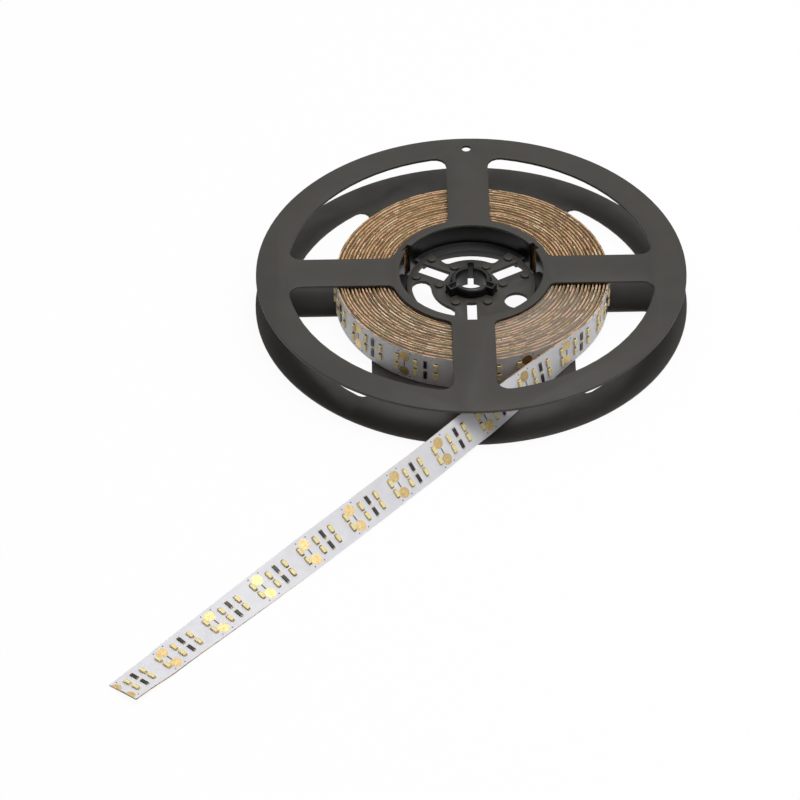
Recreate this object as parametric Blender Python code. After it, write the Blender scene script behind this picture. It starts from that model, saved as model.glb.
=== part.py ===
"""LED strip light: a double-row strip wound on a two-flange reel, its free end drawn out.

Run in Blender 4.5: blender --background --python part.py
Sizes below are in millimetres and the scene is built in metres, +Z up, front to -Y.
The reel lies on its lower flange. The strip leaves the roll upright at the front right,
turns flat as it crosses the lower rim, and lies on the floor. Each piece is built about
the reel's axis, and the whole is then moved so that the middle of its box is on Z.
"""
import math

import bmesh
import bpy
from mathutils import Matrix, Vector

MM = 0.001
SMOOTH_ANGLE = 35.0       # degrees, sharper edges stay crisp

# Fits
FIT = 0.3                 # gap left between two pieces that touch
STRIP_PLAY = 0.32         # strip edge to flange, each side

# Strip
STRIP_W = 14.4
STRIP_T = 0.6             # flexible board, tape and liner
STRIP_LENGTH = 5000.0
TAIL_LENGTH = 262.4
UNIT = 26.4               # from one cut line to the next
LED_SIZE = (1.5, 3.8, 0.8)        # along, across, height
LED_ROW = 2.4                     # row centre from the middle of the strip
RESISTOR_SIZE = (1.6, 3.2, 0.5)
RESISTOR_ROW = 2.85

# Reel
REEL_D = 178.0
LOWER_EXTRA = 0.6         # lower flange radius over the upper one
FLANGE_T = 1.2
RIM_W = 12.5              # ring outside the upper flange's windows
HUB_RING_W = 3.9          # ring round the upper flange's hub hole
SPOKE_W = 17.6
HOLE_D = 3.8              # small hole for tying down the strip's end
HOLE_INSET = 7.0          # its centre in from the reel's edge
RIM_CORNER_R = 5.0
HUB_CORNER_R = 3.0
BROAD_WEB_W = 83.4        # front and back webs of the lower flange
SIDE_WEB_W = 15.6
LOWER_RIM_W = 13.8        # ring outside the lower flange's windows
LOWER_CORNER_R = 3.5

# Barrel between the flanges
BARREL_R = 31.3
BARREL_T = 1.0
HUB_LIP = 1.5             # upper flange reaches this far over the barrel wall
LIP_NOTCH_W = 4.6         # notches in that lip, over the barrel's slots
LIP_NOTCH_DEPTH = 1.8
BARREL_SLOT_W = 5.0
BARREL_SLOT_FOOT = 2.2    # wall left below each slot
LEDGE_W = 5.2
LEDGE_T = 2.7
LEDGE_Z = 5.0
LEDGE_SPAN = 100.0        # degrees

# Web disc and spindle boss
DISC_PLAY = 3.7           # disc edge to barrel wall
DISC_T = 1.5
KEY_ANGLES = (90.0, 210.0, 330.0)
SLOT_ANGLES = (30.0, 150.0, 270.0)
SLOT_W = 6.1
SLOT_RIM = 2.5            # disc left outside each radial slot
SLOT_LAND = 2.5           # disc left between the boss and each radial slot
KIDNEY_W = 8.0
KIDNEY_RIM = 2.0
KIDNEY_SPAN = 56.5        # degrees, between the centres of its round ends
NOTCH_DEPTH = 10.0
NOTCH_SPAN = 74.0
NOTCH_CORNER_R = 2.2
ROUND_HOLE_R = 5.0
ROUND_HOLE_RIM = 0.5
ROUND_HOLE_ANGLE = 331.0
PIN_D = 3.8
PIN_H = 0.9
INNER_PIN_LAND = 2.5      # disc left between a pin and the boss
OUTER_PIN_LAND = 1.5      # disc left between a pin and the disc's edge
INNER_PIN_SHIFT = 30.0    # degrees from each key way
OUTER_PIN_SHIFT = 16.5    # degrees from each radial slot
BORE_D = 12.9
BOSS_R = 7.3
BOSS_FOOT_R = 8.8
BOSS_ROUND_H = 2.2        # height of the rounding at the boss's top
BOSS_ROUND_STEPS = 3
BOSS_ABOVE = 3.8          # boss above the disc
BOSS_BELOW = 3.5          # boss below the disc
BORE_WALL = 0.9           # wall of the tube that goes through the disc
KEY_W = 2.4
KEY_R = 10.3
KEY_WALL = 0.8

# Levels
INNER_W = STRIP_W + 2 * STRIP_PLAY
STRIP_Z = FLANGE_T + STRIP_PLAY
UPPER_Z = FLANGE_T + INNER_W
LEDGE_TOP = LEDGE_Z + LEDGE_T
DISC_Z = LEDGE_TOP + FIT
DISC_TOP = DISC_Z + DISC_T

# Radii worked out from the sizes above
WALL_IN_R = BARREL_R - BARREL_T
HUB_HOLE_R = BARREL_R - HUB_LIP
LOWER_R = REEL_D / 2 + LOWER_EXTRA
DISC_R = WALL_IN_R - DISC_PLAY
TUBE_R = BORE_D / 2 + BORE_WALL

# Roll: the strip winds outwards clockwise, seen from above, and leaves at LEAVE_ANGLE
ROLL_IN_R = BARREL_R + FIT
LEAVE_R = 56.5            # inner face of the strip where it leaves
LEAVE_ANGLE = -42.4
COARSE_STEPS = 30         # facets in each inner turn
BARE_EDGE = 0.5           # least board kept beyond a component row
RIM_WAY = math.sqrt(LOWER_R ** 2 - LEAVE_R ** 2)    # from leaving the roll to the rim

# Tail stations: way along, where 1 is the lower flange's rim and 2 the cut end; how far
# the outer edge has moved outwards; the height of whichever edge is lower; and how far
# the strip has turned from upright (0) to flat (90).
TAIL_STATIONS = (
    (0.0, 0.3, STRIP_Z, 3.0),
    (0.29, 1.4, STRIP_Z, 11.0),
    (0.58, 2.4, STRIP_Z, 18.0),
    (0.78, 3.1, STRIP_Z + 0.1, 30.0),
    (0.92, 3.8, STRIP_Z + 0.3, 50.0),
    (1.02, 4.1, STRIP_Z + 0.3, 70.0),
    (1.09, 3.8, FLANGE_T, 84.0),
    (1.18, 3.3, FLANGE_T / 3, 90.0),
    (1.42, 3.4, 0.0, 90.0),
    (1.68, 3.5, 0.0, 90.5),
    (1.84, 3.5, 0.0, 93.5),
    (2.0, 3.3, 0.0, 97.0),
)


def polar(radius, degrees):
    a = math.radians(degrees)
    return Vector((radius * math.cos(a), radius * math.sin(a)))


def arc(centre, radius, start, end, steps):
    """Points on an arc from start to end degrees, both ends included."""
    return [Vector(centre) + polar(radius, start + (end - start) * i / steps)
            for i in range(steps + 1)]


def circle(centre, radius, steps):
    return arc(centre, radius, 0, 360, steps)[:-1]


def angle_of(point, centre=(0, 0)):
    d = Vector(point) - Vector(centre)
    return math.degrees(math.atan2(d.y, d.x))


def mirrored(points, sx, sy):
    """The outline in another quadrant, its direction kept."""
    out = [Vector((p.x * sx, p.y * sy)) for p in points]
    return out if sx * sy > 0 else out[::-1]


def material(name, colour, roughness, metallic=0.0):
    mat = bpy.data.materials.new(name)
    mat.use_nodes = True
    bsdf = mat.node_tree.nodes["Principled BSDF"]
    bsdf.inputs["Base Color"].default_value = (*colour, 1.0)
    bsdf.inputs["Roughness"].default_value = roughness
    bsdf.inputs["Metallic"].default_value = metallic
    mat.diffuse_color = (*colour, 1.0)
    return mat


def finish(name, bm, mat):
    """Scale a bmesh built in millimetres to metres and make its object, round parts smooth."""
    bmesh.ops.remove_doubles(bm, verts=bm.verts, dist=1e-4)
    bmesh.ops.scale(bm, vec=(MM, MM, MM), verts=bm.verts)
    bmesh.ops.recalc_face_normals(bm, faces=bm.faces)
    mesh = bpy.data.meshes.new(name)
    bm.to_mesh(mesh)
    bm.free()
    mesh.shade_smooth()
    mesh.set_sharp_from_angle(angle=math.radians(SMOOTH_ANGLE))
    mesh.materials.append(mat)
    obj = bpy.data.objects.new(name, mesh)
    bpy.context.scene.collection.objects.link(obj)
    return obj


def plate(outer, holes, z, thickness, pads=(), pad_height=0.0):
    """A flat plate with holes, and raised pads on its top face."""
    bm = bmesh.new()

    def loop(points):
        verts = [bm.verts.new((p.x, p.y, z)) for p in points]
        edges = [bm.edges.new((a, b)) for a, b in zip(verts, verts[1:] + verts[:1])]
        return verts, edges

    edges = []
    pad_verts = []
    for points in [outer, *holes]:
        edges += loop(points)[1]
    for points in pads:
        verts, pad_edges = loop(points)
        pad_verts.append(verts)
        edges += pad_edges
    bmesh.ops.triangle_fill(bm, use_beauty=True, use_dissolve=False, edges=edges)
    for verts in pad_verts:
        if bm.faces.get(verts) is None:
            bm.faces.new(verts)
    lift(bm, bm.faces[:], thickness)
    top = z + thickness - 1e-5
    pad_set = [set((round(v.co.x, 4), round(v.co.y, 4)) for v in verts) for verts in pad_verts]
    for face in bm.faces[:]:
        key = set((round(v.co.x, 4), round(v.co.y, 4)) for v in face.verts)
        if min(v.co.z for v in face.verts) > top and key in pad_set:
            lift(bm, [face], pad_height)
    return bm


def lift(bm, faces, height):
    new = bmesh.ops.extrude_face_region(bm, geom=faces)["geom"]
    verts = [g for g in new if isinstance(g, bmesh.types.BMVert)]
    bmesh.ops.translate(bm, verts=verts, vec=(0, 0, height))
    if len(faces) == 1 and faces[0].is_valid:
        bmesh.ops.delete(bm, geom=faces, context="FACES_ONLY")


def upper_window():
    """Window between two spokes, its four corners rounded, in the first quadrant."""
    h = SPOKE_W / 2
    out_r = REEL_D / 2 - RIM_W
    in_r = HUB_HOLE_R + HUB_RING_W
    f, g = RIM_CORNER_R, HUB_CORNER_R
    far = math.sqrt((out_r - f) ** 2 - (h + f) ** 2)
    near = math.sqrt((in_r + g) ** 2 - (h + g) ** 2)
    rim_a, rim_b = Vector((far, h + f)), Vector((h + f, far))
    hub_a, hub_b = Vector((near, h + g)), Vector((h + g, near))
    points = arc(rim_a, f, -90, angle_of(rim_a), 4)
    points += arc((0, 0), out_r, angle_of(rim_a), angle_of(rim_b), 14)[1:-1]
    points += arc(rim_b, f, angle_of(rim_b), 180, 4)
    points += arc(hub_b, g, 180, angle_of(hub_b) + 180, 3)
    points += arc((0, 0), in_r, angle_of(hub_b), angle_of(hub_a), 6)[1:-1]
    points += arc(hub_a, g, angle_of(hub_a) + 180, 270, 3)
    return points


def lower_window():
    """Window beside the broad web of the lower flange, in the first quadrant."""
    x, y = BROAD_WEB_W / 2, SIDE_WEB_W / 2
    out_r = LOWER_R - LOWER_RIM_W
    f = LOWER_CORNER_R
    rim_a = Vector((math.sqrt((out_r - f) ** 2 - (y + f) ** 2), y + f))
    rim_b = Vector((x + f, math.sqrt((out_r - f) ** 2 - (x + f) ** 2)))
    points = arc(rim_a, f, -90, angle_of(rim_a), 4)
    points += arc((0, 0), out_r, angle_of(rim_a), angle_of(rim_b), 10)[1:-1]
    points += arc(rim_b, f, angle_of(rim_b), 180, 4)
    points += arc((x + f, y + f), f, 180, 270, 4)
    return points


def quadrants(points):
    return [mirrored(points, sx, sy) for sx in (1, -1) for sy in (1, -1)]


def hub_hole():
    """Hub hole of the upper flange, with a notch over each slot of the barrel."""
    h, r = LIP_NOTCH_W / 2, HUB_HOLE_R + LIP_NOTCH_DEPTH
    turn = math.degrees(math.asin(h / HUB_HOLE_R))
    points = []
    for slot in SLOT_ANGLES:
        tip, side = polar(r, slot), polar(h, slot + 90)
        points += [polar(HUB_HOLE_R, slot - turn), tip - side, tip + side]
        points += arc((0, 0), HUB_HOLE_R, slot + turn, slot + 120 - turn, 18)[:-1]
    return points


def upper_flange(mat):
    holes = quadrants(upper_window())
    holes.append(hub_hole())
    holes.append(circle((0, REEL_D / 2 - HOLE_INSET), HOLE_D / 2, 14))
    bm = plate(circle((0, 0), REEL_D / 2, 120), holes, UPPER_Z, FLANGE_T)
    return finish("upper_flange", bm, mat)


def lower_flange(mat):
    holes = quadrants(lower_window())
    holes.append(circle((0, 0), WALL_IN_R, 60))
    bm = plate(circle((0, 0), LOWER_R, 120), holes, 0.0, FLANGE_T)
    return finish("lower_flange", bm, mat)


def hub_barrel(mat):
    """Barrel wall with three slots open at the top, and three ledges for the disc."""
    z0, z1 = FLANGE_T + FIT, UPPER_Z - FIT
    bm = bmesh.new()
    steps = 72
    slot_half = math.degrees(BARREL_SLOT_W / 2 / BARREL_R)
    ledge_half = LEDGE_SPAN / 2
    cuts = {0.0}
    for slot in SLOT_ANGLES:
        cuts.update({(slot - slot_half) % 360, (slot + slot_half) % 360})
    for key in KEY_ANGLES:
        cuts.update({(key - ledge_half) % 360, (key + ledge_half) % 360})
    for i in range(steps):
        a = 360.0 * i / steps
        if all(abs((a - c + 180) % 360 - 180) > 1.6 for c in cuts):
            cuts.add(a)
    angles = sorted(cuts)

    def within(a, mids, half):
        return any(abs((a - m + 180) % 360 - 180) < half for m in mids)

    slot_foot = z0 + BARREL_SLOT_FOOT
    ledge_in = WALL_IN_R - LEDGE_W
    levels = [z0, slot_foot, LEDGE_Z, LEDGE_TOP, z1]
    filled = {}
    for i, a in enumerate(angles):
        b = angles[(i + 1) % len(angles)] + (360 if i + 1 == len(angles) else 0)
        mid = (a + b) / 2
        for k in range(len(levels) - 1):
            in_slot = within(mid, SLOT_ANGLES, slot_half) and k > 0
            filled[i, k, 1] = not in_slot
            filled[i, k, 0] = k == 2 and within(mid, KEY_ANGLES, ledge_half)
    radii = [ledge_in, WALL_IN_R, BARREL_R]
    verts = {}

    def vert(i, k, r):
        key = (i % len(angles), k, r)
        if key not in verts:
            p = polar(radii[r], angles[key[0]])
            verts[key] = bm.verts.new((p.x, p.y, levels[k]))
        return verts[key]

    n = len(angles)
    for (i, k, r), solid in filled.items():
        if not solid:
            continue
        sides = {
            (i - 1, k, r): [(i, k, r), (i, k + 1, r), (i, k + 1, r + 1), (i, k, r + 1)],
            (i + 1, k, r): [(i + 1, k, r), (i + 1, k, r + 1), (i + 1, k + 1, r + 1),
                            (i + 1, k + 1, r)],
            (i, k - 1, r): [(i, k, r), (i, k, r + 1), (i + 1, k, r + 1), (i + 1, k, r)],
            (i, k + 1, r): [(i, k + 1, r), (i + 1, k + 1, r), (i + 1, k + 1, r + 1),
                            (i, k + 1, r + 1)],
            (i, k, r - 1): [(i, k, r), (i + 1, k, r), (i + 1, k + 1, r), (i, k + 1, r)],
            (i, k, r + 1): [(i, k, r + 1), (i, k + 1, r + 1), (i + 1, k + 1, r + 1),
                            (i + 1, k, r + 1)],
        }
        for (ni, nk, nr), corners in sides.items():
            if not filled.get((ni % n, nk, nr), False):
                bm.faces.new([vert(*c) for c in corners])
    return finish("hub_barrel", bm, mat)


def boss_outline(radius, key_half, key_r):
    """A round body with three straight-sided swellings round the key ways."""
    turn = math.degrees(math.asin(key_half / radius))
    points = []
    for key in KEY_ANGLES:
        side = polar(key_half, key + 90)
        tip = polar(key_r, key)
        points += [polar(radius, key - turn), tip - side, tip + side]
        points += arc((0, 0), radius, key + turn, key + 120 - turn, 8)[:-1]
    return points


def kidney(mid, span, radius, width):
    h = width / 2
    a, b = mid - span / 2, mid + span / 2
    points = arc((0, 0), radius + h, a, b, 9)
    points += arc(polar(radius, b), h, b, b + 180, 6)[1:-1]
    points += arc((0, 0), radius - h, b, a, 7)
    points += arc(polar(radius, a), h, a + 180, a + 360, 6)[1:-1]
    return points


def radial_slot(angle):
    u, v = polar(1, angle), polar(1, angle + 90)
    r0, r1, h = BOSS_FOOT_R + SLOT_LAND, DISC_R - SLOT_RIM, SLOT_W / 2
    return [u * r0 - v * h, u * r1 - v * h, u * r1 + v * h, u * r0 + v * h]


def disc_outline():
    """Disc edge with one notch at the back, its inner corners rounded."""
    a, b = 90 - NOTCH_SPAN / 2, 90 + NOTCH_SPAN / 2
    f, notch_r = NOTCH_CORNER_R, DISC_R - NOTCH_DEPTH
    turn = math.degrees(f / notch_r)
    points = arc((0, 0), DISC_R, b, a + 360, 48)
    points += arc(polar(notch_r + f, a + turn), f, a - 90, a - 180, 3)
    points += arc((0, 0), notch_r, a + 2 * turn, b - 2 * turn, 12)
    points += arc(polar(notch_r + f, b - turn), f, b + 180, b + 90, 3)
    return points


def hub_disc(mat):
    holes = [boss_outline(TUBE_R + FIT, KEY_W / 2 + KEY_WALL + FIT, KEY_R + KEY_WALL + FIT)]
    holes += [radial_slot(a) for a in SLOT_ANGLES]
    kidney_r = DISC_R - KIDNEY_RIM - KIDNEY_W / 2
    holes.append(kidney(KEY_ANGLES[1], KIDNEY_SPAN, kidney_r, KIDNEY_W))
    hole_r = DISC_R - ROUND_HOLE_RIM - ROUND_HOLE_R
    holes.append(circle(polar(hole_r, ROUND_HOLE_ANGLE), ROUND_HOLE_R, 20))
    pin_r = PIN_D / 2
    places = [(BOSS_FOOT_R + INNER_PIN_LAND + pin_r, key + shift)
              for key in KEY_ANGLES for shift in (-INNER_PIN_SHIFT, INNER_PIN_SHIFT)]
    places += [(DISC_R - OUTER_PIN_LAND - pin_r, slot + shift)
               for slot in SLOT_ANGLES for shift in (-OUTER_PIN_SHIFT, OUTER_PIN_SHIFT)]
    pins = [circle(polar(*place), pin_r, 10) for place in places]
    bm = plate(disc_outline(), holes, DISC_Z, DISC_T, pins, PIN_H)
    return finish("hub_disc", bm, mat)


def spindle_boss(mat):
    """Spindle bush: keyed bore, rounded top, and a tube that goes down through the disc."""
    half, tip = KEY_W / 2 + KEY_WALL, KEY_R + KEY_WALL
    bore = boss_outline(BORE_D / 2, KEY_W / 2, KEY_R)
    z0, z1 = DISC_Z - BOSS_BELOW, DISC_TOP + BOSS_ABOVE
    seat = DISC_TOP + FIT
    rings = [
        (z0, boss_outline(TUBE_R, half, tip)),
        (seat, boss_outline(TUBE_R, half, tip)),
        (seat, boss_outline(BOSS_FOOT_R, half, tip)),
    ]
    for i in range(BOSS_ROUND_STEPS + 1):
        a = math.radians(90 * i / BOSS_ROUND_STEPS)
        radius = BOSS_R + (BOSS_FOOT_R - BOSS_R) * math.cos(a)
        rings.append((z1 - BOSS_ROUND_H * (1 - math.sin(a)), boss_outline(radius, half, tip)))
    rings += [(z1, bore), (z0, bore)]
    bm = bmesh.new()
    loops = [[bm.verts.new((p.x, p.y, z)) for p in points] for z, points in rings]
    n = len(loops[0])
    for a, b in zip(loops, loops[1:] + loops[:1]):
        for i in range(n):
            j = (i + 1) % n
            bm.faces.new([a[i], a[j], b[j], b[i]])
    return finish("spindle_boss", bm, mat)


def unit_lines():
    """Places along one cut unit where a component starts or ends, and its kind."""
    led, res = LED_SIZE[0] / 2, RESISTOR_SIZE[0] / 2
    pitch = UNIT / 3
    lines = []
    for centre, half, kind in ((pitch * 0.5, led, "led"), (pitch, res, "resistor"),
                               (pitch * 1.5, led, "led"), (pitch * 2.5, led, "led")):
        lines += [(centre - half, kind), (centre + half, None)]
    return lines


def row_lines(kind):
    """Across places of the two component rows; bare stretches keep the LED rows."""
    if kind == "resistor":
        row, half = RESISTOR_ROW, RESISTOR_SIZE[1] / 2
    else:
        row, half = LED_ROW, LED_SIZE[1] / 2
    edge = STRIP_W / 2
    low = max(row - half, BARE_EDGE)
    high = min(row + half, edge - BARE_EDGE)
    return [-edge, -high, -low, low, high, edge]


def roll_pitch():
    """Rise of the spiral for each turn, from the length that is wound."""
    wound = STRIP_LENGTH - TAIL_LENGTH
    return math.pi * (LEAVE_R ** 2 - ROLL_IN_R ** 2) / wound


def roll_frame(back):
    """Point, width direction and face normal on the roll, back degrees before the exit."""
    a = LEAVE_ANGLE + back
    r = LEAVE_R - roll_pitch() * back / 360
    u = polar(1, a)
    point = Vector((u.x * r, u.y * r, STRIP_Z + STRIP_W / 2))
    return point, Vector((0, 0, 1)), Vector((u.x, u.y, 0))


def eased(s):
    """Tail station values at a way s along, with smooth slopes between the stations."""
    rows = TAIL_STATIONS
    s = s / RIM_WAY if s < RIM_WAY else 1 + (s - RIM_WAY) / (TAIL_LENGTH - RIM_WAY)
    k = max(i for i in range(len(rows) - 1) if rows[i][0] <= max(s, 0.0))

    def slope(i, c):
        """Slope at a station; level at the ends and where the values turn back."""
        lo, hi = max(i - 1, 0), min(i + 1, len(rows) - 1)
        if (rows[i][c] - rows[lo][c]) * (rows[hi][c] - rows[i][c]) <= 0:
            return 0.0
        return (rows[hi][c] - rows[lo][c]) / (rows[hi][0] - rows[lo][0])

    d = rows[k + 1][0] - rows[k][0]
    t = (s - rows[k][0]) / d
    out = []
    for c in (1, 2, 3):
        p0, p1 = rows[k][c], rows[k + 1][c]
        m0, m1 = slope(k, c) * d, slope(k + 1, c) * d
        out.append((2 * t ** 3 - 3 * t ** 2 + 1) * p0 + (t ** 3 - 2 * t ** 2 + t) * m0
                   + (-2 * t ** 3 + 3 * t ** 2) * p1 + (t ** 3 - t ** 2) * m1)
    return out


def tail_frame(s):
    """Point on the liner side, width direction and face normal of the tail at s."""
    side = polar(1, LEAVE_ANGLE).to_3d()
    ahead = polar(1, LEAVE_ANGLE - 90).to_3d()
    moved, low_z, turn = eased(s)
    c, d = math.cos(math.radians(turn)), math.sin(math.radians(turn))
    width = Vector((0, 0, 1)) * c - side * d
    normal = side * c + Vector((0, 0, 1)) * d
    outer_z = low_z + STRIP_W * max(0.0, -c)
    point = side * (LEAVE_R + moved) + ahead * s + Vector((0, 0, outer_z))
    point += width * (STRIP_W / 2)
    return point, width, normal


def strip_rings():
    """Cross-sections along the strip: frame, and the kind of cell that follows."""
    pitch = roll_pitch()
    turns = (LEAVE_R - ROLL_IN_R) / pitch
    total = turns * 360
    coarse = int((total - 360) / 360 * COARSE_STEPS)
    rings = [(roll_frame(total - (total - 360) * i / coarse), None, False)
             for i in range(coarse)]
    last_turn = 2 * math.pi * (LEAVE_R - pitch / 2)
    start = -last_turn
    units = int((last_turn + TAIL_LENGTH) / UNIT) + 1
    marks = []
    for k in range(units + 1):
        base = TAIL_LENGTH - (k + 1) * UNIT
        marks += [(base + UNIT - at, kind) for at, kind in unit_lines()]
    marks.sort()
    joined = {}
    for i, (s, kind) in enumerate(marks):
        before = marks[i - 1][1] if i else None
        joined[s] = (kind, before)
    stations = sorted(s for s in joined if start + 2 < s < TAIL_LENGTH - 1)
    rings.append((roll_frame(360), None, True))
    for s in stations:
        frame = tail_frame(s) if s >= 0 else roll_frame(-s / last_turn * 360)
        rings.append((frame, joined[s][0], True))
    rings.append((tail_frame(TAIL_LENGTH), None, True))
    return rings


def led_strip(mat):
    """The whole strip as one ribbon, its components raised on the last turn and tail."""
    bm = bmesh.new()
    rings = []
    edge = STRIP_W / 2
    kinds = [r[1] for r in strip_rings()]
    for k, ((point, width, normal), kind, fine) in enumerate(strip_rings()):
        # A component line runs between its start and its end, so both share its rows.
        near = kind or (kinds[k - 1] if k else None)
        rows = row_lines(near) if fine else [-edge, edge]
        back = [bm.verts.new(point + width * v) for v in (-edge, edge)]
        front = [bm.verts.new(point + normal * STRIP_T + width * v) for v in rows]
        rings.append((back, front, kind, normal))
    raised = []
    for (b0, f0, kind, n0), (b1, f1, _, n1) in zip(rings, rings[1:]):
        bm.faces.new([b0[0], b0[1], b1[1], b1[0]])
        bm.faces.new([b0[0], b1[0], f1[0], f0[0]])
        bm.faces.new([b0[1], f0[-1], f1[-1], b1[1]])
        if len(f0) != len(f1):
            bm.faces.new(f0[::-1] + f1)
            continue
        for j in range(len(f0) - 1):
            face = bm.faces.new([f0[j], f1[j], f1[j + 1], f0[j + 1]])
            if kind and j in (1, 3):
                height = LED_SIZE[2] if kind == "led" else RESISTOR_SIZE[2]
                raised.append((face, (n0 + n1).normalized() * height))
    for back, front, _, _ in (rings[0], rings[-1]):
        bm.faces.new(back + front[::-1])
    for face, offset in raised:
        new = bmesh.ops.extrude_discrete_faces(bm, faces=[face])["faces"]
        bmesh.ops.translate(bm, verts=new[0].verts, vec=offset)
    return finish("led_strip", bm, mat)


def centre_on_box(objects):
    """Move the meshes so that the middle of the box they fill is on the Z axis."""
    places = [v.co for obj in objects for v in obj.data.vertices]
    middle = [(min(p[i] for p in places) + max(p[i] for p in places)) / 2 for i in (0, 1)]
    for obj in objects:
        obj.data.transform(Matrix.Translation((-middle[0], -middle[1], 0.0)))


def main():
    for obj in list(bpy.data.objects):
        bpy.data.objects.remove(obj, do_unlink=True)
    grey = (0.078, 0.072, 0.067)
    centre_on_box([
        lower_flange(material("lower_flange_plastic", grey, 0.55)),
        upper_flange(material("upper_flange_plastic", grey, 0.55)),
        hub_barrel(material("barrel_gloss_black", (0.012, 0.012, 0.012), 0.18)),
        hub_disc(material("disc_plastic", grey, 0.55)),
        spindle_boss(material("boss_gloss_black", (0.014, 0.014, 0.014), 0.2)),
        led_strip(material("strip_white_board", (0.8, 0.81, 0.84), 0.5)),
    ])


main()
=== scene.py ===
"""LED strip light on its reel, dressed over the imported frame.

Sizes are in millimetres and are turned to metres by MM. The strip and all that is soldered
or printed on it is modelled flat first: x runs along the strip from the place where it
leaves the roll (minus is wound, plus is drawn out), y runs across it and z is the height
over the liner's underside. One function then winds each piece onto the reel.
"""
import math

import bmesh
import bpy
from mathutils import Matrix, Quaternion, Vector


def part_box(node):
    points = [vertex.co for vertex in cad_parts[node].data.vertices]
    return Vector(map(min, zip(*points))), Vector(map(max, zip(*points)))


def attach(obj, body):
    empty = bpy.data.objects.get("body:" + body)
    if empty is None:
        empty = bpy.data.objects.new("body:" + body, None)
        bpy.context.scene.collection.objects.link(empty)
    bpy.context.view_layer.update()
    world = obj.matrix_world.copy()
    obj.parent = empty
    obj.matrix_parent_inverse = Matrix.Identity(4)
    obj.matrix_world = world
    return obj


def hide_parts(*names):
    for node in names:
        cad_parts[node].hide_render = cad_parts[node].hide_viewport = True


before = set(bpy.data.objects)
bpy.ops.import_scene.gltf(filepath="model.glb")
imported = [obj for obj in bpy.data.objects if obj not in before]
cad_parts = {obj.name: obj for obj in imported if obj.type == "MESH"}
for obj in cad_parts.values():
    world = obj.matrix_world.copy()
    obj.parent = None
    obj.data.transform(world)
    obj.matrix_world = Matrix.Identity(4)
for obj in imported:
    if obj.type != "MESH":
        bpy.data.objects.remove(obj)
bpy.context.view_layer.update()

MM = 0.001

# Strip, all but its unit as the solid has it
STRIP_W = 14.4
STRIP_LENGTH = 5000.0
TAIL_LENGTH = 262.4
UNIT = 25.6                  # from one cut line to the next
UNITS = int(STRIP_LENGTH / UNIT)
LINER_T = 0.2                # peel-off paper under the tape
STRIP_T = 0.6                # liner, tape and board
RING_STEP = 2.4              # length between two cross-sections of the ribbon

# What is on the board
LED_SIZE = (1.7, 2.9, 0.8)   # along, across, height
LED_ROW = 2.3                # from the strip's middle line to the row's
LED_WAYS = (3.4, 11.9, 20.5)  # from the unit's first cut line to each LED
FILLET_SIZE = (1.3, 0.5, 0.35)
RESISTOR_SIZE = (1.3, 3.8, 0.5)
RESISTOR_END = 0.3           # tinned length at each end
RESISTOR_ROW = 2.7
RESISTOR_WAY = 16.3
PAD_R = 2.3
PAD_T = 0.06
PAD_ROW = 3.75
CUT_MARK = (0.5, 2.6)
DOT_AT = (2.6, 5.9)
DOT_R = 0.3
PRINT_T = 0.03

# Roll, round the reel's axis
FLANGE_T = 1.2
STRIP_Z = FLANGE_T + 0.32
BARREL_R = 31.3
ROLL_IN_R = BARREL_R + 0.3
LEAVE_R = 56.5
LEAVE_ANGLE = -42.4
TURN_RISE, TURN_LEAN, TURN_BULGE = 0.28, 0.5, 0.25
LOOSE_FROM = 150.0           # the outermost turn tightens over this length
WOUND = STRIP_LENGTH - TAIL_LENGTH
PITCH = math.pi * (LEAVE_R ** 2 - ROLL_IN_R ** 2) / WOUND

# Drawn-out end. Its stations give the way along (1 over the lower flange's rim, 2 at the cut
# end), how far the lower edge has moved outwards, that edge's height, and the turn in degrees.
LOWER_R = 89.6
RIM_WAY = math.sqrt(LOWER_R ** 2 - LEAVE_R ** 2)
TAIL_STATIONS = (
    (0.0, 0.3, STRIP_Z, 2.0),
    (0.29, 1.8, STRIP_Z, 12.0),
    (0.58, 3.5, STRIP_Z, 25.0),
    (0.83, 4.8, 1.5, 35.5),
    (1.0, 4.85, 1.4, 38.0),
    (1.07, 4.8, 0.5, 40.5),
    (1.13, 4.8, 0.0, 42.0),
    (1.2, 4.85, 0.0, 44.5),
    (1.335, 5.05, 0.0, 53.0),
    (1.47, 4.95, 0.0, 60.0),
    (1.6, 4.55, 0.0, 71.0),
    (1.73, 3.9, 0.0, 80.5),
    (1.865, 3.2, 0.0, 88.0),
    (2.0, 3.3, 0.0, 97.0),
)

# Where the reel's pieces differ from their solids, from the reel's axis
FRONT_SLOT = (3.3, -25.0, -10.8)  # half its width, its front end, its back end
FRONT_SLOT_SHARE = 0.65
SIDE_WEB_X = (31.0, 82.0)
SIDE_WEB_Y = (7.0, 20.0)
SIDE_WEB_SHIFT = 2.7
SIDE_WEB_FADE = 8.5
EDGE_ANGLE = 40.0            # an edge sharper than this has the mould's round

# Room: a lit backdrop high behind the reel, darker in front and above
BACKDROP_AT = (0.0, 0.75, 0.66)
BACKDROP_LEVEL = 0.8
ROOM_LEVEL = 0.12
FLOOR_SIZE = 12.0            # in metres
FLOOR_Z = -0.3
FLOOR_GLOW = 0.94
LAMPS = (                    # name, place and size in metres, power in watts
    ("overhead_softbox", (0.15, 0.1, 1.5), 0.8, 12.5),
    ("right_softbox", (1.15, -0.25, 1.15), 1.2, 7.0),
)

# Camera, found from the edges of both flanges in the photograph
CAMERA_AT = (-13.1, -1456.2, 1269.7)
CAMERA_AIM = (-3.56, 11.17, 0.0)
CAMERA_ROLL = -0.709
LENS = 215.02                # on a 36 mm sensor

barrel_low, barrel_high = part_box("hub_barrel")
AXIS = (barrel_low + barrel_high) / 2


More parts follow.
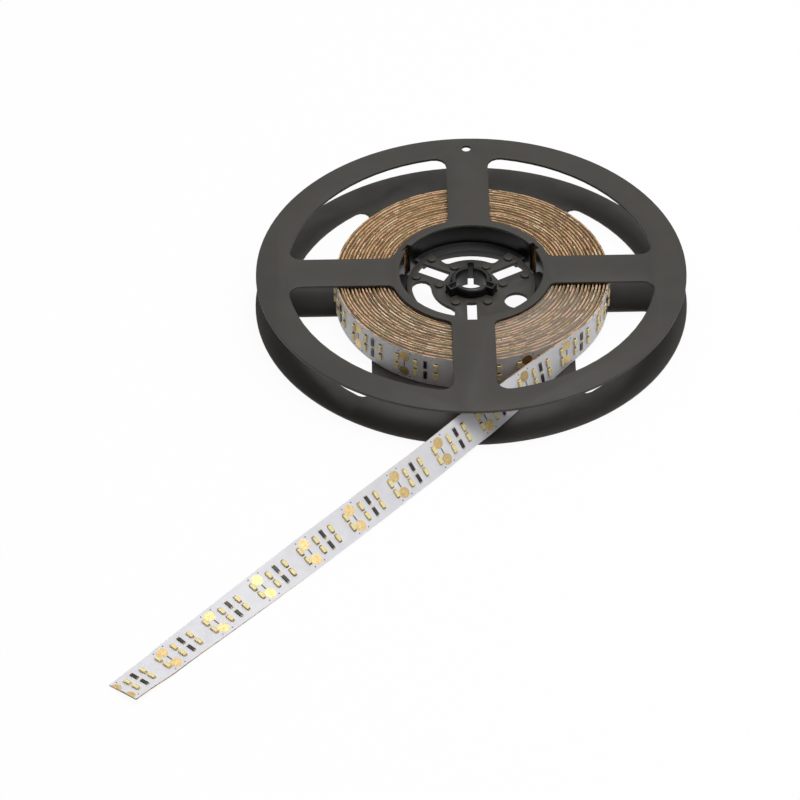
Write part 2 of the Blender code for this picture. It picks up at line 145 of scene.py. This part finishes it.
def srgb(text):
    """A hex colour as linear values."""
    parts = [int(text[i:i + 2], 16) / 255 for i in (0, 2, 4)]
    linear = [c / 12.92 if c <= 0.04045 else ((c + 0.055) / 1.055) ** 2.4 for c in parts]
    return (*linear, 1.0)


def add(mat, kind, settings=None, links=None):
    """Adds a node to a material or world, with its settings and its inputs' values or links."""
    tree = mat.node_tree
    new = tree.nodes.new(kind)
    for key, value in (settings or {}).items():
        setattr(new, key, value)
    for key, value in (links or {}).items():
        if isinstance(value, bpy.types.NodeSocket):
            tree.links.new(value, new.inputs[key])
        else:
            new.inputs[key].default_value = value
    return new


def new_material(name, colour, roughness, metallic=0.0, ior=1.5):
    """A named material with its shader's main sockets set."""
    mat = bpy.data.materials.new(name)
    mat.use_nodes = True
    bsdf = mat.node_tree.nodes["Principled BSDF"]
    bsdf.inputs["Base Color"].default_value = srgb(colour)
    bsdf.inputs["Roughness"].default_value = roughness
    bsdf.inputs["Metallic"].default_value = metallic
    bsdf.inputs["IOR"].default_value = ior
    mat.diffuse_color = srgb(colour)
    return mat, bsdf


def noise(mat, vector, size_mm, detail=3.0):
    """A noise whose features are about size_mm across."""
    return add(mat, "ShaderNodeTexNoise", {"noise_dimensions": "3D"},
               {"Vector": vector, "Scale": 1 / (size_mm * MM), "Detail": detail}).outputs["Fac"]


def ramp(mat, value, *stops):
    """Colours or greys laid over a value, each stop as (place, hex colour)."""
    new = add(mat, "ShaderNodeValToRGB", None, {"Fac": value})
    line = new.color_ramp
    while len(line.elements) < len(stops):
        line.elements.new(0.5)
    for element, (place, colour) in zip(line.elements, stops):
        element.position = place
        element.color = srgb(colour)
    return new.outputs["Color"]


def bump(mat, bsdf, height, depth_mm, strength):
    """Relief of a depth on a shader, from a height."""
    new = add(mat, "ShaderNodeBump", None,
              {"Height": height, "Distance": depth_mm * MM, "Strength": strength})
    mat.node_tree.links.new(new.outputs["Normal"], bsdf.inputs["Normal"])


def mottle(mat, bsdf, vector, size_mm, dark, light, detail=3.0):
    """A base colour that wanders between two tones over about size_mm."""
    tone = ramp(mat, noise(mat, vector, size_mm, detail), (0.3, dark), (0.7, light))
    mat.node_tree.links.new(tone, bsdf.inputs["Base Color"])


def flecks(mat, under, over, size_mm, *stops):
    """Flecks of one colour laid over another, where a noise of size_mm passes the stops."""
    where = ramp(mat, noise(mat, flat_place(mat), size_mm, 1.0), *stops)
    return add(mat, "ShaderNodeMix", {"data_type": "RGBA"},
               {"A": under, "B": srgb(over), "Factor": where}).outputs["Result"]


def moulded_polystyrene():
    """Black-grey polystyrene from a spark-eroded mould: an even, fine matte grain."""
    mat, bsdf = new_material("moulded_polystyrene", "33302C", 0.5, ior=1.5)
    place = add(mat, "ShaderNodeTexCoord").outputs["Object"]
    mottle(mat, bsdf, place, 35.0, "302C27", "37332E", 2.0)
    shine = add(mat, "ShaderNodeMapRange", None,
                {"Value": noise(mat, place, 12.0), "From Min": 0.3, "From Max": 0.7,
                 "To Min": 0.5, "To Max": 0.6}).outputs["Result"]
    mat.node_tree.links.new(shine, bsdf.inputs["Roughness"])
    # The real grain is near 0.05 mm and is drawn at 0.4 mm, so that it shows at all.
    bump(mat, bsdf, noise(mat, place, 0.4, 2.0), 0.012, 0.6)
    return mat


def polished_polystyrene():
    """Black polystyrene from a polished mould: smooth, with soft reflections."""
    mat, bsdf = new_material("polished_polystyrene", "0B0A09", 0.35, ior=1.45)
    place = add(mat, "ShaderNodeTexCoord").outputs["Object"]
    # Sink marks about 9 mm long bend the reflections a little.
    bump(mat, bsdf, noise(mat, place, 9.0, 2.0), 0.08, 0.5)
    smear = add(mat, "ShaderNodeMapRange", None,
                {"Value": noise(mat, place, 5.0), "To Min": 0.3, "To Max": 0.45}).outputs["Result"]
    mat.node_tree.links.new(smear, bsdf.inputs["Roughness"])
    return mat


def flat_place(mat):
    """Where a point lay on the strip before it was wound, in metres."""
    return add(mat, "ShaderNodeAttribute", {"attribute_name": "flat"}).outputs["Vector"]


def white_solder_mask():
    """White solder mask on a flexible board: satin, gently uneven over the copper."""
    mat, bsdf = new_material("white_solder_mask", "E2E2E7", 0.42, ior=1.5)
    place = flat_place(mat)
    mottle(mat, bsdf, place, 6.0, "DDDDE2", "E6E6EA")
    bump(mat, bsdf, noise(mat, place, 1.6, 1.0), 0.02, 0.5)
    return mat


def cut_board_edge():
    """Slit edge of polyimide board: film in tan streaks, with green flecks, and dark flecks of
    painted shade that stand for the shadowed gaps between the turns.
    """
    mat, bsdf = new_material("cut_board_edge", "B98A5E", 0.6, ior=1.6)
    film = ramp(mat, noise(mat, flat_place(mat), 14.0, 3.0), (0.36, "6E5234"), (0.41, "B5935E"),
                (0.46, "CBA47C"), (0.52, "C89878"), (0.57, "CFAA80"), (0.64, "DCD0B6"))
    green = flecks(mat, film, "6E7846", 3.0, (0.54, "000000"), (0.58, "FFFFFF"))
    # Painted shade: dark flecks that stand for the shadowed gaps between the turns, not a colour
    # of the edge itself.
    dark = flecks(mat, green, "4A3826", 5.0, (0.4, "FFFFFF"), (0.44, "000000"))
    mat.node_tree.links.new(dark, bsdf.inputs["Base Color"])
    return mat


def kraft_liner():
    """Waxed kraft peel-off paper: tan, faintly shiny, fibres along the web."""
    mat, bsdf = new_material("kraft_liner", "D6AC7C", 0.55, ior=1.45)
    place = flat_place(mat)
    fibre = add(mat, "ShaderNodeMapping", None, {"Vector": place, "Scale": (0.25, 1.0, 1.0)})
    mottle(mat, bsdf, fibre.outputs["Vector"], 1.2, "C99C6C", "E0B88C")
    bump(mat, bsdf, noise(mat, place, 0.5), 0.01, 0.5)
    return mat


def led_housing():
    """White polyphthalamide cup of a small LED, a little yellowed by the light through it."""
    mat, bsdf = new_material("led_housing", "EEDDA8", 0.45, ior=1.55)
    mottle(mat, bsdf, flat_place(mat), 0.7, "E4CE94", "F6E8BC")
    return mat


def phosphor_resin():
    """Silicone filled with yellow phosphor: soft, slightly waxy."""
    mat, bsdf = new_material("phosphor_resin", "F6E79C", 0.35, ior=1.45)
    mottle(mat, bsdf, flat_place(mat), 0.8, "F0DC86", "FAEFB4")
    bsdf.inputs["Subsurface Weight"].default_value = 0.1
    bsdf.inputs["Subsurface Scale"].default_value = 0.4 * MM
    return mat


def tinned_solder():
    """Reflowed solder, browned by flux."""
    mat, bsdf = new_material("tinned_solder", "9A7C50", 0.4, metallic=1.0)
    mottle(mat, bsdf, flat_place(mat), 0.5, "7E6038", "B89A68")
    return mat


def chip_resistor():
    """Black glass over a thick-film resistor: hard, satin."""
    mat, bsdf = new_material("chip_resistor", "141312", 0.4, ior=1.55)
    mottle(mat, bsdf, flat_place(mat), 0.6, "100F0E", "1C1A18")
    return mat


def gold_pad():
    """Immersion gold on copper: warm metal with a soft, slightly uneven shine."""
    mat, bsdf = new_material("gold_pad", "DEC48C", 0.5, metallic=1.0)
    place = flat_place(mat)
    mottle(mat, bsdf, place, 0.9, "CFAE72", "E8D2A0")
    bump(mat, bsdf, noise(mat, place, 1.4, 1.0), 0.02, 0.4)
    return mat


def marking_ink():
    """Dark screen-printed ink."""
    mat, bsdf = new_material("marking_ink", "56524E", 0.7, ior=1.5)
    mottle(mat, bsdf, flat_place(mat), 0.4, "47443F", "6A655F")
    return mat


def primitive(name, operator, **settings):
    """Adds a primitive at its place, alone in the selection, with its place in its mesh."""
    bpy.ops.object.select_all(action="DESELECT")
    operator(**settings)
    piece = bpy.context.object
    piece.name = piece.data.name = name
    bpy.ops.object.transform_apply(location=True, rotation=True, scale=True)
    return piece


def block(name, size, at):
    """A box of a size in millimetres, its underside's middle at a place."""
    middle = (at[0] * MM, at[1] * MM, (at[2] + size[2] / 2) * MM)
    return primitive(name, bpy.ops.mesh.primitive_cube_add, size=1.0, location=middle,
                     scale=[s * MM for s in size])


def choose(piece, test, mode="FACE"):
    """Opens a piece for editing and selects the faces or points that pass a test."""
    bpy.context.view_layer.objects.active = piece
    bpy.ops.object.mode_set(mode="EDIT")
    bpy.ops.mesh.select_mode(type=mode)
    bpy.ops.mesh.select_all(action="DESELECT")
    mesh = bmesh.from_edit_mesh(piece.data)
    for item in mesh.faces if mode == "FACE" else mesh.verts:
        item.select_set(test(item))
    bmesh.update_edit_mesh(piece.data)


def close_edit():
    bpy.ops.object.mode_set(mode="OBJECT")


def draw_up(thickness):
    """Gives the selected flat faces a thickness upwards."""
    up = (0.0, 0.0, thickness * MM)
    bpy.ops.mesh.extrude_region_move(TRANSFORM_OT_translate={"value": up})
    bpy.ops.mesh.select_all(action="SELECT")
    bpy.ops.mesh.normals_make_consistent(inside=False)


def paint(piece, *materials):
    """Gives a piece its numbered materials, from 0."""
    for mat in materials:
        piece.data.materials.append(mat)


def use_slot(piece, slot):
    """Gives the selected faces the piece's numbered material."""
    piece.active_material_index = slot
    bpy.ops.object.material_slot_assign()


def join(pieces, name):
    """Joins pieces into the first, under a name."""
    bpy.ops.object.select_all(action="DESELECT")
    for piece in pieces:
        piece.select_set(True)
    bpy.context.view_layer.objects.active = pieces[0]
    bpy.ops.object.join()
    pieces[0].name = pieces[0].data.name = name
    return pieces[0]


def copy_at(piece, x, y, turned=False):
    """A copy with its own mesh, moved on the flat strip, and turned end for end if asked."""
    new = piece.copy()
    new.data = piece.data.copy()
    bpy.context.scene.collection.objects.link(new)
    if turned:
        new.data.transform(Matrix.Rotation(math.pi, 4, "Z"))
    new.data.transform(Matrix.Translation((x * MM, y * MM, 0.0)))
    return new


def modifier(piece, kind, **settings):
    """Adds a modifier and applies it."""
    bpy.ops.object.select_all(action="DESELECT")
    piece.select_set(True)
    bpy.context.view_layer.objects.active = piece
    new = piece.modifiers.new(kind.lower(), kind)
    for key, value in settings.items():
        setattr(new, key, value)
    bpy.ops.object.modifier_apply(modifier=new.name)
    return piece


def along_strip(piece):
    """Repeats one unit's pieces over the strip's whole length."""
    first = TAIL_LENGTH - UNITS * UNIT
    piece.data.transform(Matrix.Translation((first * MM, 0.0, 0.0)))
    return modifier(piece, "ARRAY", count=UNITS, use_relative_offset=False,
                    use_constant_offset=True, constant_offset_displace=(UNIT * MM, 0.0, 0.0))


def polar(radius, degrees):
    """A point round the reel's axis."""
    a = math.radians(degrees)
    return Vector((radius * math.cos(a), radius * math.sin(a), 0.0))


def on_roll(back):
    """Point, width and normal of the wound strip, back millimetres before it leaves the roll.

    Hand-wound turns stand a little high or low, lean, and bulge with the turns under them.
    """
    turned = (LEAVE_R - math.sqrt(LEAVE_R ** 2 - PITCH * back / math.pi)) * 2 * math.pi / PITCH
    loose = min(back / LOOSE_FROM, 1.0)
    rise = loose * TURN_RISE * (math.sin(0.73 * turned + 1) + math.sin(1.9 * turned)) / 2
    lean = loose * TURN_LEAN * (math.sin(0.81 * turned + 2) + math.sin(2.3 * turned)) / 2
    bulge = loose * TURN_BULGE * (math.sin(3.04 * turned) + math.sin(4.97 * turned + 1)) / 2
    out = polar(1.0, LEAVE_ANGLE + math.degrees(turned))
    point = out * (LEAVE_R - PITCH * turned / (2 * math.pi) + bulge)
    point.z = STRIP_Z + STRIP_W / 2 + rise
    width = (Vector((0.0, 0.0, STRIP_W)) + out * lean).normalized()
    return point, width, (out - Vector((0.0, 0.0, lean / STRIP_W))).normalized()


def eased(s):
    """Station values s millimetres along the drawn-out end, smooth between the stations."""
    rows = TAIL_STATIONS
    s = s / RIM_WAY if s < RIM_WAY else 1 + (s - RIM_WAY) / (TAIL_LENGTH - RIM_WAY)
    k = max(i for i in range(len(rows) - 1) if rows[i][0] <= max(s, 0.0))

    def slope(i, c):
        lo, hi = max(i - 1, 0), min(i + 1, len(rows) - 1)
        if (rows[i][c] - rows[lo][c]) * (rows[hi][c] - rows[i][c]) <= 0:
            return 0.0
        return (rows[hi][c] - rows[lo][c]) / (rows[hi][0] - rows[lo][0])

    d = rows[k + 1][0] - rows[k][0]
    t = (s - rows[k][0]) / d
    out = []
    for c in (1, 2, 3):
        p0, p1 = rows[k][c], rows[k + 1][c]
        m0, m1 = slope(k, c) * d, slope(k + 1, c) * d
        out.append((2 * t ** 3 - 3 * t ** 2 + 1) * p0 + (t ** 3 - 2 * t ** 2 + t) * m0
                   + (-2 * t ** 3 + 3 * t ** 2) * p1 + (t ** 3 - t ** 2) * m1)
    return out


def on_tail(s):
    """Point, width and normal of the drawn-out end, s millimetres after it leaves the roll."""
    side, ahead = polar(1.0, LEAVE_ANGLE), polar(1.0, LEAVE_ANGLE - 90)
    moved, low_z, turn = eased(s)
    c, d = math.cos(math.radians(turn)), math.sin(math.radians(turn))
    width = Vector((0.0, 0.0, c)) - side * d
    normal = side * c + Vector((0.0, 0.0, d))
    point = side * (LEAVE_R + moved) + ahead * s
    point.z += low_z + STRIP_W * max(0.0, -c)
    return point + width * (STRIP_W / 2), width, normal


def wind(piece):
    """Winds a flat piece onto the reel, and keeps its flat places for the materials."""
    mesh = piece.data
    flat = mesh.attributes.new("flat", "FLOAT_VECTOR", "POINT")
    flat.data.foreach_set("vector", [c for v in mesh.vertices for c in v.co])
    frames = {}
    for vertex in mesh.vertices:
        s = vertex.co.x / MM
        key = round(s, 3)
        if key not in frames:
            frames[key] = on_tail(s) if s >= 0 else on_roll(-s)
        point, width, normal = frames[key]
        place = point * MM + width * vertex.co.y + normal * vertex.co.z
        vertex.co = place + Vector((AXIS.x, AXIS.y, 0.0))


def finish_piece(piece, angle=35.0):
    """Shades a piece, and makes it ride on the part."""
    bpy.ops.object.select_all(action="DESELECT")
    piece.select_set(True)
    bpy.context.view_layer.objects.active = piece
    bpy.ops.object.shade_smooth_by_angle(angle=math.radians(angle))
    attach(piece, "root")
    return piece


def ribbon(name, low, high, top, edge):
    """One layer of the strip over its whole length: a long sheet, drawn up to its thickness."""
    rings = int(STRIP_LENGTH / RING_STEP)
    length = UNITS * UNIT
    sheet = primitive(name, bpy.ops.mesh.primitive_grid_add, x_subdivisions=rings,
                      y_subdivisions=1, size=1.0)
    paint(sheet, top, edge)
    choose(sheet, lambda face: True)
    bpy.ops.transform.resize(value=(length * MM, STRIP_W * MM, 1.0))
    bpy.ops.transform.translate(value=((TAIL_LENGTH - length / 2) * MM, 0.0, low * MM))
    draw_up(high - low)
    close_edit()
    choose(sheet, lambda face: abs(face.normal.z) < 0.5)
    use_slot(sheet, 1)
    close_edit()
    wind(sheet)
    return finish_piece(sheet)


def led_package():
    """One LED: a moulded cup with drafted walls, filled with phosphor resin."""
    cup = block("led_cup", LED_SIZE, (0.0, 0.0, 0.0))
    paint(cup, MATERIALS["housing"], MATERIALS["phosphor"])
    choose(cup, lambda face: face.normal.z > 0.9)
    bpy.ops.transform.resize(value=(0.94, 0.96, 1.0))
    bpy.ops.mesh.inset(thickness=0.2 * MM, depth=0.0)
    bpy.ops.mesh.inset(thickness=0.05 * MM, depth=-0.06 * MM)
    use_slot(cup, 1)
    close_edit()
    return cup


def solder_fillet(width, length, height):
    """A wedge of solder at a part's end, its outer top edge drawn down."""
    wedge = block("solder", (width, length, height), (0.0, length / 2, 0.0))
    paint(wedge, MATERIALS["solder"])
    choose(wedge, lambda v: v.co.z > 0.5 * height * MM and v.co.y > 0.5 * length * MM, "VERT")
    bpy.ops.transform.translate(value=(0.0, 0.0, -0.8 * height * MM))
    close_edit()
    return wedge


def led_rows(board_top):
    """The LEDs of one unit, in two rows of three, repeated along the strip."""
    cup = led_package()
    end = LED_SIZE[1] / 2
    fillet = solder_fillet(*FILLET_SIZE)
    led = join([cup, copy_at(fillet, 0.0, end), copy_at(fillet, 0.0, -end, turned=True)], "led")
    bpy.data.objects.remove(fillet)
    led.data.transform(Matrix.Translation((0.0, 0.0, board_top * MM)))
    places = [(way, side * LED_ROW) for way in LED_WAYS for side in (-1, 1)]
    rows = join([copy_at(led, *place) for place in places], "led_rows")
    bpy.data.objects.remove(led)
    return along_strip(rows)


def resistor_rows(board_top):
    """The two resistors of each unit, with tinned ends."""
    along, across, height = RESISTOR_SIZE
    body = block("resistor", (along, across - 2 * RESISTOR_END, height), (0, 0, 0))
    paint(body, MATERIALS["resistor"], MATERIALS["solder"])
    choose(body, lambda face: abs(face.normal.y) > 0.9)
    bpy.ops.mesh.extrude_faces_move(TRANSFORM_OT_shrink_fatten={"value": RESISTOR_END * MM})
    use_slot(body, 1)
    close_edit()
    tinned_from = (across / 2 - RESISTOR_END) * MM
    choose(body, lambda face: abs(face.calc_center_median().y) > tinned_from)
    use_slot(body, 1)
    close_edit()
    body.data.transform(Matrix.Translation((0.0, 0.0, board_top * MM)))
    rows = join([copy_at(body, RESISTOR_WAY, side * RESISTOR_ROW) for side in (-1, 1)],
                "resistor_rows")
    bpy.data.objects.remove(body)
    return along_strip(rows)


def half_pad(board_top, first):
    """Half of a round gold land, cut straight at the cut line."""
    pad = primitive("pad", bpy.ops.mesh.primitive_circle_add, vertices=24, radius=PAD_R * MM,
                    fill_type="NGON", location=(0.0, 0.0, board_top * MM))
    paint(pad, MATERIALS["gold"])
    choose(pad, lambda face: True)
    bpy.ops.mesh.bisect(plane_co=(0.0, 0.0, 0.0), plane_no=(1.0, 0.0, 0.0),
                        clear_inner=first, clear_outer=not first)
    bpy.ops.mesh.select_all(action="SELECT")
    draw_up(PAD_T)
    close_edit()
    return pad


def pad_rows(board_top):
    """Solder pads at both cut lines of a unit."""
    start, end = half_pad(board_top, True), half_pad(board_top, False)
    pieces = [copy_at(start, 0.0, side * PAD_ROW) for side in (-1, 1)]
    pieces += [copy_at(end, UNIT, side * PAD_ROW) for side in (-1, 1)]
    rows = join(pieces, "gold_pads")
    bpy.data.objects.remove(start)
    bpy.data.objects.remove(end)
    return along_strip(rows)


def printed_marks(board_top):
    """Cut lines, printed in two halves, and the four small dots by each pair of pads."""
    half = CUT_MARK[0] / 2
    pieces = [block("mark", (half, CUT_MARK[1], PRINT_T), (half / 2, 0.0, board_top)),
              block("mark", (half, CUT_MARK[1], PRINT_T), (UNIT - half / 2, 0.0, board_top))]
    for x in (DOT_AT[0], UNIT - DOT_AT[0]):
        for y in (-DOT_AT[1], DOT_AT[1]):
            pieces.append(primitive("dot", bpy.ops.mesh.primitive_cylinder_add, vertices=8,
                                    radius=DOT_R * MM, depth=PRINT_T * MM,
                                    location=(x * MM, y * MM, (board_top + PRINT_T / 2) * MM)))
    for piece in pieces:
        paint(piece, MATERIALS["ink"])
    return along_strip(join(pieces, "printed_marks"))


def make_strip():
    """The strip's layers and all that is on them, wound on the reel."""
    ribbon("release_liner", 0.0, LINER_T, MATERIALS["liner"], MATERIALS["liner"])
    board = ribbon("flexible_board", LINER_T, STRIP_T, MATERIALS["mask"], MATERIALS["edge"])
    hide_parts("led_strip")
    for piece in (led_rows(STRIP_T), resistor_rows(STRIP_T), pad_rows(STRIP_T),
                  printed_marks(STRIP_T)):
        wind(piece)
        finish_piece(piece)


def narrow_front_slot(piece):
    """Draws the sides of the disc's front slot together."""
    half, front, back = (v * MM for v in FRONT_SLOT)
    choose(piece, lambda v: abs(v.co.x - AXIS.x) < half and front < v.co.y - AXIS.y < back, "VERT")
    bpy.ops.transform.resize(value=(FRONT_SLOT_SHARE, 1.0, 1.0), center_override=tuple(AXIS))
    close_edit()


def widen_side_webs(piece):
    """Moves the back edges of the two side webs back, less and less towards the rim's arc."""
    for vertex in piece.data.vertices:
        out, back = abs(vertex.co.x - AXIS.x) / MM, (vertex.co.y - AXIS.y) / MM
        if SIDE_WEB_X[0] < out < SIDE_WEB_X[1] and SIDE_WEB_Y[0] < back < SIDE_WEB_Y[1]:
            share = min((SIDE_WEB_Y[1] - back) / SIDE_WEB_FADE, 1.0)
            vertex.co.y += SIDE_WEB_SHIFT * MM * share


def moulding(node, name, material, round_mm, reshape=None):
    """A moulded piece of the reel: its solid with the mould's small edge rounds."""
    piece = bpy.data.objects.new(name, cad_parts[node].data.copy())
    bpy.context.scene.collection.objects.link(piece)
    piece.data.materials.clear()
    paint(piece, material)
    choose(piece, lambda v: True, "VERT")
    bpy.ops.mesh.remove_doubles(threshold=0.002 * MM)
    bpy.ops.mesh.dissolve_limited(angle_limit=math.radians(0.5))
    close_edit()
    if reshape:
        reshape(piece)
    modifier(piece, "BEVEL", width=round_mm * MM, segments=2, limit_method="ANGLE",
             angle_limit=math.radians(EDGE_ANGLE), harden_normals=False, use_clamp_overlap=True)
    finish_piece(piece, EDGE_ANGLE)
    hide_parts(node)


def make_reel():
    """The reel's five mouldings, with the rounds of their edges in millimetres."""
    matte, gloss = MATERIALS["matte"], MATERIALS["gloss"]
    moulding("lower_flange", "lower_flange_moulding", matte, 0.25,
             widen_side_webs)
    moulding("upper_flange", "upper_flange_moulding", matte, 0.25)
    moulding("hub_barrel", "barrel_moulding", gloss, 0.2)
    moulding("hub_disc", "disc_moulding", matte, 0.2, narrow_front_slot)
    moulding("spindle_boss", "boss_moulding", gloss, 0.3)


def white_stage(name, share):
    """White paper that shows near white to the camera and still keeps soft shadows."""
    mat, bsdf = new_material(name, "F4F4F4", 0.9)
    tree = mat.node_tree
    path = add(mat, "ShaderNodeLightPath")
    mirrored = add(mat, "ShaderNodeMath", {"operation": "MAXIMUM"},
                   {0: path.outputs["Is Glossy Ray"], 1: path.outputs["Is Transmission Ray"]})
    seen = add(mat, "ShaderNodeMath", {"operation": "MAXIMUM"},
               {0: path.outputs["Is Camera Ray"], 1: mirrored.outputs[0]})
    amount = add(mat, "ShaderNodeMath", {"operation": "MULTIPLY"}, {0: seen.outputs[0], 1: share})
    glow = add(mat, "ShaderNodeEmission", None, {"Color": (1, 1, 1, 1), "Strength": 1.0})
    mix = add(mat, "ShaderNodeMixShader", None,
              {0: amount.outputs[0], 1: bsdf.outputs[0], 2: glow.outputs[0]})
    tree.links.new(mix.outputs[0], tree.nodes["Material Output"].inputs["Surface"])
    return mat


def make_stage():
    """White paper under the reel, and a room around it that shows white to the camera."""
    floor = primitive("floor", bpy.ops.mesh.primitive_plane_add, size=FLOOR_SIZE,
                      location=(0, 0, FLOOR_Z * MM))
    paint(floor, white_stage("white_paper", FLOOR_GLOW))
    world = bpy.data.worlds.new("soft_room")
    bpy.context.scene.world = world
    world.use_nodes = True
    look = add(world, "ShaderNodeTexCoord").outputs["Generated"]
    toward = add(world, "ShaderNodeVectorMath", {"operation": "DOT_PRODUCT"},
                 {0: look, 1: BACKDROP_AT})
    room = add(world, "ShaderNodeMapRange", {"interpolation_type": "SMOOTHSTEP"},
               {"Value": toward.outputs["Value"], "From Min": 0.5, "From Max": 0.9,
                "To Min": ROOM_LEVEL, "To Max": BACKDROP_LEVEL}).outputs["Result"]
    path = add(world, "ShaderNodeLightPath")
    seen = add(world, "ShaderNodeMath", {"operation": "MAXIMUM"},
               {0: path.outputs["Is Camera Ray"], 1: path.outputs["Is Transmission Ray"]})
    tone = add(world, "ShaderNodeMix", {"data_type": "FLOAT"},
               {"Factor": seen.outputs[0], "A": room, "B": 1.0})
    back = world.node_tree.nodes["Background"]
    back.inputs["Color"].default_value = (1, 1, 1, 1)
    world.node_tree.links.new(tone.outputs["Result"], back.inputs["Strength"])


def area_light(name, at, size, power):
    """A square softbox that faces the middle of the floor."""
    data = bpy.data.lights.new(name, "AREA")
    data.shape = "SQUARE"
    data.size = size
    data.energy = power
    lamp = bpy.data.objects.new(name, data)
    bpy.context.scene.collection.objects.link(lamp)
    lamp.location = at
    lamp.rotation_euler = (-Vector(at)).to_track_quat("-Z", "Y").to_euler()


def make_camera():
    """The photograph's camera."""
    data = bpy.data.cameras.new("camera")
    data.sensor_width = 36.0
    data.lens = LENS
    data.clip_end = 50.0
    camera = bpy.data.objects.new("camera", data)
    bpy.context.scene.collection.objects.link(camera)
    at, aim = Vector(CAMERA_AT) * MM, Vector(CAMERA_AIM) * MM
    camera.location = at
    turn = (aim - at).to_track_quat("-Z", "Y") @ Quaternion((0, 0, 1), math.radians(CAMERA_ROLL))
    camera.rotation_mode = "QUATERNION"
    camera.rotation_quaternion = turn
    bpy.context.scene.camera = camera


MATERIALS = {
    "matte": moulded_polystyrene(),
    "gloss": polished_polystyrene(),
    "mask": white_solder_mask(),
    "edge": cut_board_edge(),
    "liner": kraft_liner(),
    "housing": led_housing(),
    "phosphor": phosphor_resin(),
    "solder": tinned_solder(),
    "resistor": chip_resistor(),
    "gold": gold_pad(),
    "ink": marking_ink(),
}
bpy.context.scene.view_settings.view_transform = "Standard"
make_camera()
make_reel()
make_strip()
make_stage()
for lamp in LAMPS:
    area_light(*lamp)
